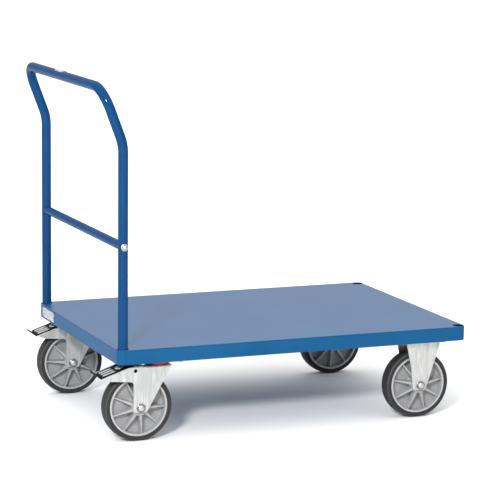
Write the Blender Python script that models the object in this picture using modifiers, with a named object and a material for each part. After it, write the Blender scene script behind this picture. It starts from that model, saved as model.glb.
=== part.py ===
"""Flatbed platform truck with a bent-tube push handle, two braked swivel casters and two fixed casters.

Units are metres, +Z is up and +X is the way the truck is pushed. The origin is on the floor under the
middle of the bounding box. Left is +Y, as seen by the person at the handle.
"""
import math

import bmesh
import bpy
from mathutils import Matrix, Vector

# Driving dimensions of the platform
DECK_LENGTH = 1.000
DECK_WIDTH = 0.700
DECK_HEIGHT = 0.254
RIM_DEPTH = 0.039
DECK_SHEET = 0.002
RAIL_WALL = 0.003
SOCKET_RADIUS = 0.01685
SOCKET_BORE = 0.0136
BEARER_HALF_WIDTH = 0.075
STIFFENER_HALF_WIDTH = 0.025
STIFFENER_DEPTH = 0.028
GAP = 0.0003

# Push handle and its strut
HANDLE_RADIUS = 0.013
TUBE_WALL = 0.0015
HANDLE_LEAN = math.radians(21)
HANDLE_BEND_HEIGHT = 0.785
HANDLE_HEIGHT = 0.932
HANDLE_BEND_RADIUS = 0.12
HANDLE_CORNER_RADIUS = 0.060
STRUT_HEIGHT = 0.522
STRUT_RADIUS = 0.0115
STRUT_BOLT_RADIUS = 0.004

# Casters
WHEEL_RADIUS = 0.0925
RIM_RADIUS = 0.0790
CASTER_TRAIL = 0.055
REAR_CASTER_SETBACK = 0.1244
FRONT_CASTER_SETBACK = 0.8877
FRONT_AXLE_OFFSET = -0.0115
CASTER_INSET = 0.0604
PLATE_LENGTH = 0.140
PLATE_WIDTH = 0.110
PLATE_BOTTOM = 0.2160
PLATE_THICKNESS = 0.004
FORK_HALF_WIDTH = 0.038
FORK_WALL = 0.0035
CROWN_TOP = 0.2052
AXLE_RADIUS = 0.006
PEDAL_PIVOT_X = -0.0702
PEDAL_PIVOT_Z = 0.1925
PEDAL_PIN_RADIUS = 0.0034
SPOKES = 9

# Places worked out from the driving dimensions
RIM_BOTTOM = DECK_HEIGHT - RIM_DEPTH
HANDLE_SETBACK = SOCKET_RADIUS - math.tan(HANDLE_LEAN) * (HANDLE_HEIGHT - HANDLE_BEND_HEIGHT)
HANDLE_OVERHANG = HANDLE_RADIUS - HANDLE_SETBACK
REAR_X = HANDLE_OVERHANG - (DECK_LENGTH + HANDLE_OVERHANG) / 2
FRONT_X = REAR_X + DECK_LENGTH
SIDE_Y = DECK_WIDTH / 2
SOCKET_Y = SIDE_Y - SOCKET_RADIUS
CASTER_Y = SIDE_Y - CASTER_INSET
RAIL_TOP = DECK_HEIGHT - DECK_SHEET - GAP
PLATE_TOP = PLATE_BOTTOM + PLATE_THICKNESS

ALONG_Y = Matrix.Rotation(math.radians(90), 4, "X")


def clear_scene():
    """Removes every object that the start-up file brought along."""
    for obj in list(bpy.data.objects):
        bpy.data.objects.remove(obj)


def material(name, colour, roughness, metallic):
    """Makes a Principled material and sets the viewport colour to match."""
    mat = bpy.data.materials.new(name)
    mat.use_nodes = True
    shader = mat.node_tree.nodes["Principled BSDF"]
    shader.inputs["Base Color"].default_value = (*colour, 1)
    shader.inputs["Roughness"].default_value = roughness
    shader.inputs["Metallic"].default_value = metallic
    mat.diffuse_color = (*colour, 1)
    return mat


# --- mesh tools: each takes and returns plain meshes ---


def from_bmesh(bm, name):
    """Turns a bmesh into a mesh with its faces pointing out."""
    bmesh.ops.recalc_face_normals(bm, faces=bm.faces)
    mesh = bpy.data.meshes.new(name)
    bm.to_mesh(mesh)
    bm.free()
    return mesh


def box(low, high):
    """A box between two corners."""
    bm = bmesh.new()
    bmesh.ops.create_cube(bm, size=1)
    low, high = Vector(low), Vector(high)
    bmesh.ops.scale(bm, vec=high - low, verts=bm.verts)
    bmesh.ops.translate(bm, vec=(low + high) / 2, verts=bm.verts)
    return from_bmesh(bm, "box")


def cylinder(radius, start, end, segments=24):
    """A capped cylinder from one point to another."""
    start, end = Vector(start), Vector(end)
    turn = Vector((0, 0, 1)).rotation_difference(end - start).to_matrix().to_4x4()
    bm = bmesh.new()
    bmesh.ops.create_cone(bm, cap_ends=True, segments=segments, radius1=radius, radius2=radius,
                          depth=(end - start).length, matrix=Matrix.Translation((start + end) / 2) @ turn)
    return from_bmesh(bm, "cylinder")


def baked(obj):
    """The mesh of an object with its modifiers applied; the object is removed."""
    bpy.context.view_layer.update()
    evaluated = obj.evaluated_get(bpy.context.evaluated_depsgraph_get())
    mesh = bpy.data.meshes.new_from_object(evaluated)
    mesh.transform(obj.matrix_world)
    bpy.data.objects.remove(obj)
    return mesh


def working_object(data):
    """A temporary object in the scene's own collection."""
    obj = bpy.data.objects.new("working", data)
    bpy.context.scene.collection.objects.link(obj)
    return obj


def combined(base, other, operation):
    """The exact Boolean of two meshes."""
    base_object, other_object = working_object(base), working_object(other)
    boolean = base_object.modifiers.new("boolean", "BOOLEAN")
    boolean.operation = operation
    boolean.object = other_object
    mesh = baked(base_object)
    bpy.data.objects.remove(other_object)
    return mesh


def cut(base, *cutters):
    """Cuts each cutter away from a mesh."""
    for cutter in cutters:
        base = combined(base, cutter, "DIFFERENCE")
    return base


def fused(base, *others):
    """Joins meshes that overlap into one body."""
    for other in others:
        base = combined(base, other, "UNION")
    return base


def moved(mesh, offset):
    """A mesh shifted by an offset."""
    mesh.transform(Matrix.Translation(offset))
    return mesh


def welded(mesh):
    """Welds the loose caps that a curve leaves."""
    bm = bmesh.new()
    bm.from_mesh(mesh)
    bmesh.ops.remove_doubles(bm, verts=bm.verts, dist=0.00001)
    return from_bmesh(bm, "welded")


def extruded(outline, thickness):
    """A flat plate in the XY plane, half its thickness on each side of Z = 0."""
    curve = bpy.data.curves.new("outline", "CURVE")
    curve.dimensions = "2D"
    curve.fill_mode = "BOTH"
    curve.extrude = thickness / 2
    spline = curve.splines.new("POLY")
    spline.points.add(len(outline) - 1)
    for point, (x, y) in zip(spline.points, outline):
        point.co = (x, y, 0, 1)
    spline.use_cyclic_u = True
    return welded(baked(working_object(curve)))


def upright_plate(outline, thickness, y=0.0):
    """A plate standing in the XZ plane, its middle at the given Y."""
    mesh = extruded(outline, thickness)
    mesh.transform(ALONG_Y)
    return moved(mesh, (0, y, 0))


def turned(profile, segments):
    """A solid of revolution about Z. The closed profile of (radius, height) runs down its outer side."""
    mesh = bpy.data.meshes.new("profile")
    count = len(profile)
    closed = profile[0][0] > 0 or profile[-1][0] > 0
    edges = [(i, (i + 1) % count) for i in range(count if closed else count - 1)]
    mesh.from_pydata([(radius, 0, height) for radius, height in profile], edges, [])
    obj = working_object(mesh)
    screw = obj.modifiers.new("screw", "SCREW")
    screw.steps = screw.render_steps = segments
    screw.use_merge_vertices = True
    screw.merge_threshold = 0.00001
    return welded(baked(obj))


def turned_along_y(profile, segments):
    """A solid of revolution about Y. Heights run towards -Y."""
    mesh = turned(profile, segments)
    mesh.transform(ALONG_Y)
    return mesh


def ring(inner, outer, low, high):
    """The closed profile of a plain ring."""
    return [(outer, high), (outer, low), (inner, low), (inner, high)]


def rounded(corners, radius, steps=3):
    """A closed outline whose corners are rounded. A corner is (x, y) or (x, y, its own radius)."""
    outline = []
    count = len(corners)
    for i, corner in enumerate(corners):
        here = Vector(corner[:2])
        before = (Vector(corners[i - 1][:2]) - here).normalized()
        after = (Vector(corners[(i + 1) % count][:2]) - here).normalized()
        own = corner[2] if len(corner) > 2 else radius
        outline += [tuple(point) for point in fillet(here, before, after, own, steps)]
    return outline


def fillet(corner, before, after, radius, steps):
    """Points of the arc that rounds a corner between two unit directions that leave it."""
    if radius == 0:
        return [corner]
    half = before.angle(after) / 2
    centre = corner + (before + after).normalized() * radius / math.sin(half)
    start = corner + before * radius / math.tan(half) - centre
    end = corner + after * radius / math.tan(half) - centre
    sweep = start.angle(end)
    points = []
    for i in range(steps + 1):
        t = i / steps
        spoke = (start * math.sin((1 - t) * sweep) + end * math.sin(t * sweep)) / math.sin(sweep)
        points.append(centre + spoke)
    return points


def bent_tube(corners, radii, radius, wall):
    """A hollow tube along a path whose inner corners are rounded."""
    path = [corners[0]]
    for i, bend in enumerate(radii, start=1):
        before = (corners[i - 1] - corners[i]).normalized()
        after = (corners[i + 1] - corners[i]).normalized()
        steps = 8 if before.angle(after) < math.radians(120) else 4
        path += fillet(corners[i], before, after, bend, steps)
    path.append(corners[-1])
    curve = bpy.data.curves.new("tube", "CURVE")
    curve.dimensions = "3D"
    curve.bevel_depth = radius
    curve.bevel_resolution = 2
    spline = curve.splines.new("POLY")
    spline.points.add(len(path) - 1)
    for point, place in zip(spline.points, path):
        point.co = (*place, 1)
    obj = working_object(baked(working_object(curve)))
    solidify = obj.modifiers.new("wall", "SOLIDIFY")
    solidify.thickness = wall
    solidify.offset = -1
    return welded(baked(obj))


# --- scene tools ---


class Truck:
    """Keeps the collection and places every finished piece in it."""

    def __init__(self):
        self.collection = bpy.data.collections.new("flatbed_platform_truck")
        bpy.context.scene.collection.children.link(self.collection)
        self.root = self.pivot("truck_origin", None, (0, 0, 0))

    def pivot(self, name, parent, place):
        """An empty on a joint's axis; its place is in world coordinates."""
        empty = bpy.data.objects.new(name, None)
        empty.empty_display_size = 0.03
        self.collection.objects.link(empty)
        return self.attach(empty, parent, place)

    def attach(self, obj, parent, place):
        """Parents an object and puts its origin at a place in world coordinates."""
        obj.parent = parent
        obj.location = Vector(place) - (world_place(parent) if parent else Vector())
        return obj

    def add(self, name, mesh, mat, parent=None, place=(0, 0, 0)):
        """Adds one sub-part."""
        if not mesh.materials:
            mesh.materials.append(mat)
            mesh.shade_smooth()
            mesh.set_sharp_from_angle(angle=math.radians(35))
            mesh.name = name
        obj = bpy.data.objects.new(name, mesh)
        self.collection.objects.link(obj)
        return self.attach(obj, parent or self.root, place)


def world_place(obj):
    """The world place of an unrotated chain of empties."""
    place = Vector()
    while obj:
        place += obj.location
        obj = obj.parent
    return place


# --- platform ---


def deck_outline():
    """The deck's outline, notched round the four corner sockets."""
    reach = SOCKET_RADIUS + GAP
    spare = math.asin(math.sqrt(reach ** 2 - SOCKET_RADIUS ** 2) / reach)
    middle_x = (REAR_X + FRONT_X) / 2
    outline = []
    for quarter, (sign_x, sign_y) in enumerate([(1, 1), (-1, 1), (-1, -1), (1, -1)]):
        centre = Vector((middle_x + sign_x * (DECK_LENGTH / 2 - SOCKET_RADIUS), sign_y * SOCKET_Y))
        first = quarter * math.pi / 2 - spare
        last = first - 1.5 * math.pi + 2 * spare
        for i in range(13):
            angle = first + (last - first) * i / 12
            outline.append((centre.x + reach * math.cos(angle), centre.y + reach * math.sin(angle)))
    return outline


def add_deck(truck, blue):
    """The sheet that carries the load."""
    plate = moved(extruded(deck_outline(), DECK_SHEET), (0, 0, DECK_HEIGHT - DECK_SHEET / 2))
    truck.add("deck_plate", plate, blue)


def socket_centres():
    """Name and centre of each corner socket."""
    for end, x in (("rear", REAR_X + SOCKET_RADIUS), ("front", FRONT_X - SOCKET_RADIUS)):
        for side, sign in (("left", 1), ("right", -1)):
            yield f"{end}_{side}", x, sign * SOCKET_Y


def add_sockets(truck, blue):
    """Four short tubes at the corners, which take the handle or a stake."""
    mesh = turned(ring(SOCKET_BORE, SOCKET_RADIUS, RIM_BOTTOM, DECK_HEIGHT), 32)
    for corner, x, y in socket_centres():
        truck.add(f"corner_socket_{corner}", mesh, blue, place=(x, y, 0))


def rail_profile(face, inwards):
    """The section of a flat rail, from its outer face in the direction given."""
    wall = face + inwards * RAIL_WALL
    return [(face, RIM_BOTTOM), (face, RAIL_TOP), (wall, RAIL_TOP), (wall, RIM_BOTTOM)]


def coped(rail):
    """A rail with its ends shaped to meet the round sockets."""
    low, high = RIM_BOTTOM - 0.01, DECK_HEIGHT + 0.01
    sockets = [cylinder(SOCKET_RADIUS + GAP, (x, y, low), (x, y, high), 32) for _, x, y in socket_centres()]
    return cut(rail, *sockets)


def add_rails(truck, blue):
    """Flat rails on edge round the platform, each coped to the sockets at its ends."""
    middle_x = (REAR_X + FRONT_X) / 2
    for side, sign in (("left", 1), ("right", -1)):
        rail = extruded(rail_profile(sign * SIDE_Y, -sign), DECK_LENGTH - 2 * SOCKET_RADIUS)
        rail.transform(Matrix(((0, 0, 1, middle_x), (1, 0, 0, 0), (0, 1, 0, 0), (0, 0, 0, 1))))
        truck.add(f"side_rail_{side}", coped(rail), blue)
    for end, x, inwards in (("rear", REAR_X, 1), ("front", FRONT_X, -1)):
        rail = upright_plate(rail_profile(x, inwards), 2 * SOCKET_Y)
        truck.add(f"end_rail_{end}", coped(rail), blue)


def channel(half_width, low, high, wall, web_at_bottom):
    """The section of a channel, open at the top or at the bottom."""
    inner = half_width - wall
    if web_at_bottom:
        return [(-half_width, low), (half_width, low), (half_width, high), (inner, high), (inner, low + wall),
                (-inner, low + wall), (-inner, high), (-half_width, high)]
    return [(-half_width, low), (-inner, low), (-inner, high - wall), (inner, high - wall), (inner, low),
            (half_width, low), (half_width, high), (-half_width, high)]


def add_cross_members(truck, blue):
    """Two wide channels that carry the casters, and a narrow one under the middle of the deck."""
    reach = SIDE_Y - RAIL_WALL - GAP
    for end, setback in (("rear", REAR_CASTER_SETBACK), ("front", FRONT_CASTER_SETBACK)):
        section = channel(BEARER_HALF_WIDTH, PLATE_TOP + GAP, RAIL_TOP, RAIL_WALL, True)
        truck.add(f"caster_bearer_{end}", upright_plate(section, 2 * reach), blue, place=(REAR_X + setback, 0, 0))
    section = channel(STIFFENER_HALF_WIDTH, RAIL_TOP - STIFFENER_DEPTH, RAIL_TOP, RAIL_WALL, False)
    truck.add("deck_stiffener", upright_plate(section, 2 * reach), blue,
              place=((REAR_X + FRONT_X) / 2, 0, 0))


# --- push handle ---


def add_handle(truck, blue, zinc):
    """One bent tube plugged into the rear sockets, with a strut bolted between its uprights."""
    foot_x, top_x = REAR_X + SOCKET_RADIUS, REAR_X + HANDLE_SETBACK
    places = [(foot_x, RIM_BOTTOM + DECK_SHEET), (foot_x, HANDLE_BEND_HEIGHT), (top_x, HANDLE_HEIGHT)]
    right = [Vector((x, -SOCKET_Y, z)) for x, z in places]
    left = [Vector((x, -y, z)) for x, y, z in reversed(right)]
    radii = [HANDLE_BEND_RADIUS, HANDLE_CORNER_RADIUS, HANDLE_CORNER_RADIUS, HANDLE_BEND_RADIUS]
    tube = bent_tube(right + left, radii, HANDLE_RADIUS, TUBE_WALL)
    holes = [cylinder(STRUT_BOLT_RADIUS + GAP, (foot_x, sign * (SOCKET_Y - 0.03), STRUT_HEIGHT),
                      (foot_x, sign * (SOCKET_Y + 0.03), STRUT_HEIGHT), 16) for sign in (1, -1)]
    truck.add("push_handle", cut(tube, *holes), blue)

    bore, hollow, solid_end = STRUT_BOLT_RADIUS + GAP, STRUT_RADIUS - TUBE_WALL, SOCKET_Y - 0.060
    strut = turned_along_y([(STRUT_RADIUS, SOCKET_Y), (STRUT_RADIUS, -SOCKET_Y), (bore, -SOCKET_Y),
                            (bore, -solid_end), (hollow, -solid_end), (hollow, solid_end), (bore, solid_end),
                            (bore, SOCKET_Y)], 20)
    saddles = [cylinder(HANDLE_RADIUS + GAP, (0, sign * SOCKET_Y, -0.03), (0, sign * SOCKET_Y, 0.03), 32)
               for sign in (1, -1)]
    truck.add("handle_strut", cut(strut, *saddles), blue, place=(foot_x, 0, STRUT_HEIGHT))

    seat = HANDLE_RADIUS + GAP
    bolt = turned_along_y([(0, seat + 0.0095), (0.0040, seat + 0.0088), (0.0065, seat + 0.0060),
                           (0.0065, seat + 0.0022), (0.0095, seat + 0.0020), (0.0095, seat),
                           (STRUT_BOLT_RADIUS, seat), (STRUT_BOLT_RADIUS, -0.045), (0, -0.045)], 16)
    truck.add("strut_bolt_right", bolt, zinc, place=(foot_x, -SOCKET_Y, STRUT_HEIGHT))
    other_bolt = bolt.copy()
    other_bolt.transform(Matrix.Rotation(math.pi, 4, "Z"))
    truck.add("strut_bolt_left", other_bolt, zinc, place=(foot_x, SOCKET_Y, STRUT_HEIGHT))


def add_labels(truck, white):
    """A plain plate on the rear rail, and a plain sticker on top of the handle."""
    plate_y, plate_z = SIDE_Y - 0.087, RIM_BOTTOM + RIM_DEPTH / 2
    plate = box((-0.0008, -0.052, -0.0135), (0, 0.052, 0.0135))
    truck.add("rating_plate", plate, white, place=(REAR_X - GAP, plate_y, plate_z))
    radius = HANDLE_RADIUS + GAP
    band = turned_along_y(ring(radius, radius + 0.0005, -0.030, 0.030), 32)
    keep = box((-0.0085, -0.04, 0), (0.0085, 0.04, 0.03))
    truck.add("handle_label", combined(band, keep, "INTERSECT"), white,
              place=(REAR_X + HANDLE_SETBACK, 0.020, HANDLE_HEIGHT))


# --- casters; their meshes have the wheel's or the swivel's axis at X = Y = 0 ---


def wheel_centre_mesh():
    """The moulded wheel body: rim, web, hub and ribs on both sides."""
    rim_half, rim_inner, web_half, hub, hub_half, bore = 0.0205, 0.0735, 0.0035, 0.0225, 0.0310, 0.0128
    right = [(RIM_RADIUS, rim_half), (RIM_RADIUS, -rim_half), (rim_inner, -rim_half),
             (rim_inner - 0.0015, -web_half), (hub, -web_half), (hub - 0.0015, -hub_half)]
    left = [(hub - 0.0015, hub_half), (hub, web_half), (rim_inner - 0.0015, web_half), (rim_inner, rim_half)]
    body = turned_along_y(right + [(bore, -hub_half), (bore, hub_half)] + left, 4 * SPOKES)
    for i in range(SPOKES):
        rib = box((hub - 0.004, -0.0165, -0.0016), (rim_inner + 0.002, 0.0165, 0.0016))
        rib.transform(Matrix.Rotation(2 * math.pi * (i + 0.5) / SPOKES, 4, "Y"))
        body = fused(body, rib)
    return body


def tyre_mesh():
    """The solid tyre, its tread slightly crowned."""
    seat = RIM_RADIUS + GAP
    half = [(WHEEL_RADIUS - 0.0015, 0.0130), (WHEEL_RADIUS - 0.0055, 0.0185), (seat + 0.0030, 0.0205),
            (seat, 0.0195)]
    other = [(radius, -height) for radius, height in half]
    return turned_along_y([(WHEEL_RADIUS, 0.0)] + other + half[::-1], 40)


def hexagon(radius, low_y, high_y):
    """A hexagonal head or nut along Y."""
    return cylinder(radius, (0, low_y, 0), (0, high_y, 0), 6)


def axle_meshes():
    """The bolt, nut, spacer tube and bearing of one wheel."""
    seat = FORK_HALF_WIDTH + GAP
    shank = cylinder(AXLE_RADIUS, (0, -seat - 0.002, 0), (0, seat + 0.013, 0), 16)
    bolt = fused(hexagon(0.0105, -seat - 0.0075, -seat), shank)
    hole = cylinder(AXLE_RADIUS + GAP, (0, seat - 0.01, 0), (0, seat + 0.03, 0), 16)
    nut = cut(hexagon(0.0105, seat, seat + 0.0095), hole)
    inside = FORK_HALF_WIDTH - FORK_WALL - GAP
    tube = turned_along_y(ring(AXLE_RADIUS + GAP, 0.0085, -inside, inside), 16)
    bearing = turned_along_y(ring(0.0085 + GAP, 0.0128 - GAP, -0.0305, 0.0305), 20)
    return {"axle_bolt": bolt, "axle_nut": nut, "axle_tube": tube, "wheel_bearing": bearing}


def swivel_leg_outline():
    """Side view of a swivel fork's leg, with the tail that guards the brake pedal."""
    return rounded([(0.034, CROWN_TOP), (-0.069, CROWN_TOP, 0.03), (-0.0925, 0.2005, 0.03),
                    (-0.1545, 0.1795, 0.002), (-0.1560, 0.1745, 0.002), (-0.1540, 0.1700, 0.002),
                    (-0.0756, 0.1632, 0.008), (-0.0756, 0.0812, 0.006), (-0.0392, 0.0808, 0.006)], 0.004)


def fixed_leg_outline():
    """Side view of a fixed fork's leg."""
    top = PLATE_BOTTOM + PLATE_THICKNESS / 2
    return rounded([(0.0528, top, 0), (-0.0535, top, 0), (-0.0388, 0.140, 0.02), (-0.0335, 0.0805, 0.006),
                    (0.0022, 0.0795, 0.006)], 0.004)


def legs(outline):
    """The two legs of a fork."""
    middle = FORK_HALF_WIDTH - FORK_WALL / 2
    return [upright_plate(outline, FORK_WALL, sign * middle) for sign in (1, -1)]


def swivel_fork_mesh():
    """A swivel fork: a crown with two legs, and holes for the king pin, axle and pedal pin."""
    crown_half = FORK_HALF_WIDTH - FORK_WALL / 2
    crown_outline = rounded([(0.036, crown_half), (-0.058, crown_half, 0.004),
                             (-0.058, -crown_half, 0.004), (0.036, -crown_half)], 0.026, 6)
    crown = moved(extruded(crown_outline, FORK_WALL), (0, 0, CROWN_TOP - FORK_WALL / 2 - 0.0002))
    fork = fused(crown, *legs(swivel_leg_outline()))
    king_hole = cylinder(AXLE_RADIUS + GAP, (0, 0, 0.19), (0, 0, 0.22), 20)
    return cut(fork, king_hole, cross_hole(AXLE_RADIUS + GAP, -CASTER_TRAIL, WHEEL_RADIUS, 16),
               cross_hole(PEDAL_PIN_RADIUS + GAP, PEDAL_PIVOT_X, PEDAL_PIVOT_Z, 16))


def cross_hole(radius, x, z, segments):
    """A cutter for a hole that runs across the fork."""
    return cylinder(radius, (x, -0.06, z), (x, 0.06, z), segments)


def mounting_plate():
    """The rectangular plate that bolts to a bearer."""
    corner = Vector((PLATE_LENGTH / 2, PLATE_WIDTH / 2, 0))
    return box(Vector((0, 0, PLATE_BOTTOM)) - corner, Vector((0, 0, PLATE_TOP)) + corner)


def fixed_fork_mesh():
    """A fixed fork: its top plate and legs are one pressed and welded piece."""
    fork = fused(mounting_plate(), *legs(fixed_leg_outline()))
    return cut(fork, cross_hole(AXLE_RADIUS + GAP, FRONT_AXLE_OFFSET, WHEEL_RADIUS, 16))


def top_plate_mesh():
    """The mounting plate of a swivel caster, with the upper ball race pressed into it."""
    race_top, race_bottom = PLATE_BOTTOM + 0.001, 0.2115
    race = turned([(0, race_top), (0.037, race_top), (0.035, race_bottom), (0, race_bottom)], 28)
    king_hole = cylinder(AXLE_RADIUS + GAP, (0, 0, 0.20), (0, 0, 0.23), 20)
    return cut(fused(mounting_plate(), race), king_hole)


def pedal_mesh():
    """The brake pedal: a tread plate on a barrel, with a cam for the shoe and a release lever at its tip."""
    half_width = FORK_HALF_WIDTH - FORK_WALL - 0.0055
    tread = upright_plate([(-0.064, 0.1965), (-0.066, 0.2005), (-0.0925, 0.2005), (-0.158, 0.1790),
                           (-0.157, 0.1750), (-0.0925, 0.1962), (-0.078, 0.1935)], 2 * half_width)
    barrel = cylinder(0.006, (PEDAL_PIVOT_X, -half_width, PEDAL_PIVOT_Z),
                      (PEDAL_PIVOT_X, half_width, PEDAL_PIVOT_Z), 16)
    lever = cylinder(0.0020, (-0.150, 0.014, 0.1780), (-0.174, 0.056, 0.1765), 8)
    cam = upright_plate([(-0.1060, 0.1910), (-0.1040, 0.1822), (-0.0920, 0.1873), (-0.0900, 0.1970)], 0.020)
    body = fused(tread, barrel, lever, cam)
    body = cut(body, cross_hole(PEDAL_PIN_RADIUS + GAP, PEDAL_PIVOT_X, PEDAL_PIVOT_Z, 16))
    return moved(body, (-PEDAL_PIVOT_X, 0, -PEDAL_PIVOT_Z))


def brake_shoe_mesh():
    """The curved shoe, guided between the legs, that the pedal's cam presses on the tread."""
    inner, outer = WHEEL_RADIUS + 0.0035, WHEEL_RADIUS + 0.0085
    angles = [math.radians(103 + 3 * i) for i in range(9)]
    outline = [(inner * math.cos(a), inner * math.sin(a)) for a in angles]
    outline += [(outer * math.cos(a), outer * math.sin(a)) for a in reversed(angles)]
    return upright_plate(outline, 2 * (FORK_HALF_WIDTH - FORK_WALL - GAP))


def add_wheel(truck, name, axle, carrier, meshes, mats):
    """One wheel on its axle: the carrier holds the bolt, nut and tube, and the rest turns."""
    spin = truck.pivot(f"{name}_wheel_axis", carrier, axle)
    for piece in ("axle_bolt", "axle_nut", "axle_tube"):
        truck.add(f"{name}_{piece}", meshes[piece], mats["zinc"], carrier, axle)
    truck.add(f"{name}_wheel_bearing", meshes["wheel_bearing"], mats["steel"], spin, axle)
    truck.add(f"{name}_wheel_centre", meshes["wheel_centre"], mats["grey plastic"], spin, axle)
    truck.add(f"{name}_tyre", meshes["tyre"], mats["tyre"], spin, axle)


def add_swivel_caster(truck, name, x, y, meshes, mats):
    """A braked swivel caster; its wheel trails behind the swivel's axis."""
    truck.add(f"{name}_top_plate", meshes["top_plate"], mats["zinc"], place=(x, y, 0))
    truck.add(f"{name}_king_pin", meshes["king_pin"], mats["steel"], place=(x, y, 0))
    swivel = truck.pivot(f"{name}_swivel_axis", truck.root, (x, y, 0))
    truck.add(f"{name}_swivel_bearing", meshes["swivel_bearing"], mats["steel"], swivel, (x, y, 0))
    truck.add(f"{name}_dust_ring", meshes["dust_ring"], mats["red plastic"], swivel, (x, y, 0))
    truck.add(f"{name}_fork", meshes["swivel_fork"], mats["zinc"], swivel, (x, y, 0))
    pivot_place = (x + PEDAL_PIVOT_X, y, PEDAL_PIVOT_Z)
    pedal_axis = truck.pivot(f"{name}_pedal_axis", swivel, pivot_place)
    truck.add(f"{name}_brake_pedal", meshes["brake_pedal"], mats["black"], pedal_axis, pivot_place)
    truck.add(f"{name}_pedal_pin", meshes["pedal_pin"], mats["steel"], swivel, pivot_place)
    axle = (x - CASTER_TRAIL, y, WHEEL_RADIUS)
    truck.add(f"{name}_brake_shoe", meshes["brake_shoe"], mats["steel"], swivel, axle)
    add_wheel(truck, name, axle, swivel, meshes, mats)


def add_fixed_caster(truck, name, x, y, meshes, mats):
    """A fixed caster, its fork bolted under the deck."""
    truck.add(f"{name}_fork", meshes["fixed_fork"], mats["zinc"], place=(x, y, 0))
    add_wheel(truck, name, (x + FRONT_AXLE_OFFSET, y, WHEEL_RADIUS), truck.root, meshes, mats)


def caster_meshes():
    """Every mesh that the casters share."""
    pin_reach = FORK_HALF_WIDTH - 0.0004
    king_pin = turned([(0, PLATE_TOP - 0.0002), (AXLE_RADIUS, PLATE_TOP - 0.0002), (AXLE_RADIUS, 0.2010),
                       (0.0110, 0.2010), (0.0095, 0.1962), (0, 0.1955)], 20)
    meshes = {
        "wheel_centre": wheel_centre_mesh(), "tyre": tyre_mesh(), "top_plate": top_plate_mesh(),
        "king_pin": king_pin,
        "swivel_bearing": turned(ring(0.0075, 0.0215, 0.2057, 0.2112), 24),
        "dust_ring": turned([(0.0325, 0.2112), (0.0335, 0.2095), (0.0330, 0.2057), (0.0225, 0.2057),
                             (0.0225, 0.2112)], 32),
        "swivel_fork": swivel_fork_mesh(), "fixed_fork": fixed_fork_mesh(),
        "brake_pedal": pedal_mesh(), "brake_shoe": brake_shoe_mesh(),
        "pedal_pin": cylinder(PEDAL_PIN_RADIUS, (0, -pin_reach, 0), (0, pin_reach, 0), 16),
    }
    meshes.update(axle_meshes())
    return meshes


def add_casters(truck, mats):
    """Swivel casters under the handle end, fixed casters under the front."""
    meshes = caster_meshes()
    for side, sign in (("left", 1), ("right", -1)):
        add_swivel_caster(truck, f"rear_{side}", REAR_X + REAR_CASTER_SETBACK, sign * CASTER_Y, meshes, mats)
        add_fixed_caster(truck, f"front_{side}", REAR_X + FRONT_CASTER_SETBACK, sign * CASTER_Y, meshes, mats)


def build():
    """Builds the whole truck."""
    clear_scene()
    mats = {
        "blue": material("blue_powder_coat", (0.030, 0.150, 0.370), 0.35, 0.0),
        "zinc": material("zinc_plated_steel", (0.72, 0.73, 0.73), 0.35, 0.85),
        "steel": material("bare_steel", (0.45, 0.45, 0.46), 0.35, 0.9),
        "grey plastic": material("grey_polyamide", (0.30, 0.30, 0.31), 0.45, 0.0),
        "tyre": material("dark_grey_rubber", (0.055, 0.055, 0.058), 0.75, 0.0),
        "red plastic": material("red_plastic", (0.36, 0.012, 0.030), 0.40, 0.0),
        "black": material("black_pedal", (0.02, 0.02, 0.02), 0.40, 0.0),
        "white": material("white_label", (0.78, 0.80, 0.82), 0.45, 0.0),
    }
    truck = Truck()
    add_deck(truck, mats["blue"])
    add_sockets(truck, mats["blue"])
    add_rails(truck, mats["blue"])
    add_cross_members(truck, mats["blue"])
    add_handle(truck, mats["blue"], mats["zinc"])
    add_labels(truck, mats["white"])
    add_casters(truck, mats)


build()
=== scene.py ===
"""The looks of the flatbed platform truck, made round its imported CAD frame. Metres, +Z up, +X forward."""

from math import asin, copysign, cos, hypot, pi, radians, sin, sqrt, tan

import bmesh
import bpy
from mathutils import Matrix, Vector


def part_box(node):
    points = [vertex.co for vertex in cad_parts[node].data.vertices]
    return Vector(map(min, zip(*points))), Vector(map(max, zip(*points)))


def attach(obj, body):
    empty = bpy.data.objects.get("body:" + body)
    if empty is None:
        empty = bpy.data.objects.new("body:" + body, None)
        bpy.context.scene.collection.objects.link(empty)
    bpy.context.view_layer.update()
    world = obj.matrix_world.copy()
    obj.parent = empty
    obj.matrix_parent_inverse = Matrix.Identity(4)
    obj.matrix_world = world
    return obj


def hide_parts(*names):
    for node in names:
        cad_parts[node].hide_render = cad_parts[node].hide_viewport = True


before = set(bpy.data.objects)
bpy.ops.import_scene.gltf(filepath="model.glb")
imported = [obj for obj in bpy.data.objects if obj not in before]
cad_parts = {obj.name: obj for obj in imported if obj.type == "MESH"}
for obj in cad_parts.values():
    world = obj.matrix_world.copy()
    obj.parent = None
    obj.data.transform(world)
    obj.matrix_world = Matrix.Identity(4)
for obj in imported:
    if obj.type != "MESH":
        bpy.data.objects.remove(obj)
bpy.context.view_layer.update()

SIDES = (("left", 1), ("right", -1))
ENDS = ("rear", "front")

# How meshes are made: points closer than the reach are one, and edges sharper than the angles count as sharp
MERGE_REACH = 0.00001
SHADING_ANGLE = radians(38)
BEVEL_ANGLE = radians(34)
BEND_STEPS = 14

# Sizes that no box of a CAD node gives
GAP = 0.0003
TUBE_RADIUS = 0.013
TUBE_WALL = 0.0015
SOCKET_BORE = 0.0136
BEND_HEIGHT = 0.785
BEND_RADIUS = 0.12
CORNER_RADIUS = 0.060
FORK_WALL = 0.0035
FORK_FACE = 0.0383
DISH_DEPTH = 0.0016
SPOKES = 9
PEDAL_PIVOT = Vector((-0.0702, 0, 0.1925))
PEDAL_SLOPE = -19


# --- places, read from the frame ---


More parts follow.
